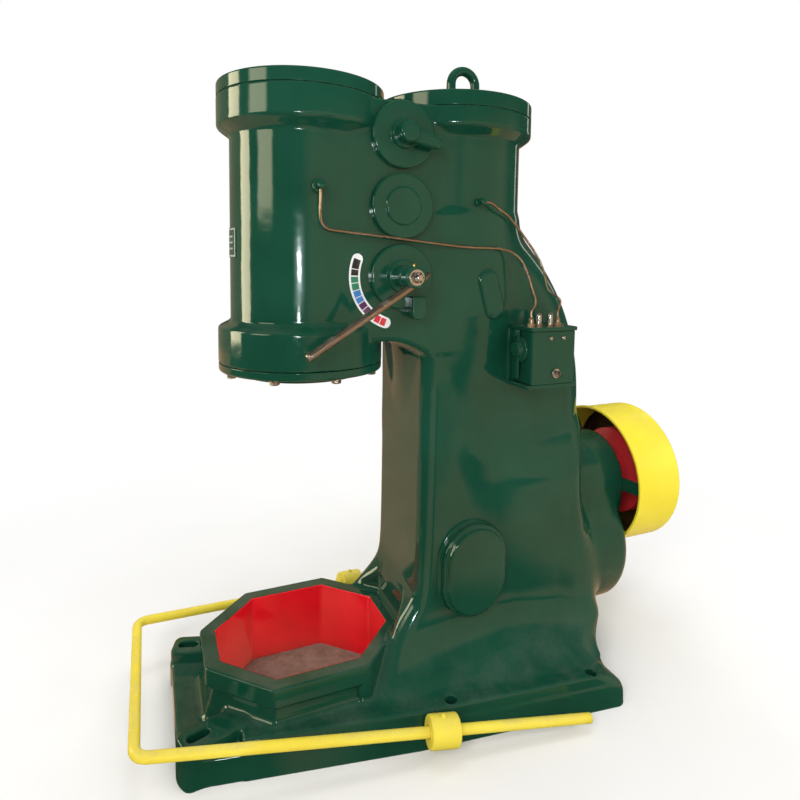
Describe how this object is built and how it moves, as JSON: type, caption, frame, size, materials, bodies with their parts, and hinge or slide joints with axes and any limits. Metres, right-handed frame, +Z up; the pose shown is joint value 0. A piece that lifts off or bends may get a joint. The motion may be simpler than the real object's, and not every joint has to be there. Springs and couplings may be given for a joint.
{
  "type": "pneumatic forging hammer",
  "caption": "Two-cylinder air forging hammer frame with open anvil pit, hand lever, foot treadle, lubricator and guarded belt pulley.",
  "frame": {"origin": "on the floor under the ram axis, at the middle of the anvil pit", "axes": "+X from the front of the hammer to its belt guard, +Z up, -Y towards the side with the hand lever"},
  "size_m": [1.856, 1.006, 2.046],
  "materials": {
    "green_enamel": "glossy",
    "yellow_enamel": "semi-gloss",
    "red_enamel": "semi-gloss",
    "worked_steel": "machined",
    "bright_steel": "plated",
    "copper": "drawn tube",
    "brass": "turned",
    "plate": "printed sheet"
  },
  "bodies": {
    "frame": {"base_casting": "green_enamel", "column_casting": "green_enamel", "cylinder_block": "green_enamel", "front_cylinder_cover": "green_enamel", "rear_cylinder_cover": "green_enamel", "lifting_eye": "green_enamel", "vent_plug": "worked_steel", "ram_guide": "green_enamel", "ram": "worked_steel", "upper_valve_cover": "green_enamel", "middle_valve_cover": "green_enamel", "lower_valve_cover": "green_enamel", "far_upper_cover": "green_enamel", "far_middle_cover": "green_enamel", "far_lower_cover": "green_enamel", "lever_stop": "green_enamel", "scale_plate": "plate", "name_plate": "plate", "oblong_cover": "green_enamel", "crankcase_cover_near": "green_enamel", "crankcase_cover_far": "green_enamel", "bearing_housing": "green_enamel", "bearing_cap": "green_enamel", "belt_guard": "yellow_enamel", "guard_straps": "green_enamel", "lubricator_bracket": "green_enamel", "lubricator_body": "green_enamel", "lubricator_lid": "green_enamel", "lubricator_fittings": "brass", "drain_plug": "bright_steel", "oil_inlet_front": "green_enamel", "oil_inlet_rear": "worked_steel", "oil_pipe_front": "copper", "oil_pipe_rear": "copper", "pivot_pin_near": "worked_steel", "pivot_pin_far": "worked_steel"},
    "hand_control": {"lever_hub": "green_enamel", "hand_lever": "worked_steel", "lever_nut": "worked_steel"},
    "upper_handle": {"upper_valve_handle": "green_enamel"},
    "treadle": {"treadle_frame": "yellow_enamel", "treadle_collar_near": "yellow_enamel", "treadle_collar_far": "yellow_enamel"},
    "drive": {"drive_shaft": "worked_steel", "drive_pulley": "red_enamel"}
  },
  "joints": [
    {"name": "hand_lever_turn", "type": "hinge", "parent": "frame", "child": "hand_control", "pos_m": [0.24627, -0.29, 1.35317], "axis": [0, 1, 0], "range_deg": [-35, 50]},
    {"name": "upper_handle_turn", "type": "hinge", "parent": "frame", "child": "upper_handle", "pos_m": [0.24627, -0.24, 1.759], "axis": [0, 1, 0], "range_deg": [-60, 45]},
    {"name": "treadle_press", "type": "hinge", "parent": "frame", "child": "treadle", "pos_m": [0.3, 0, 0.09], "axis": [0, -1, 0], "range_deg": [0, 7], "stiffness_Nm_per_rad": 500, "springref_deg": -14.32},
    {"name": "pulley_spin", "type": "hinge", "parent": "frame", "child": "drive", "pos_m": [1.296, 0, 0.58], "axis": [1, 0, 0], "continuous": true}
  ]
}
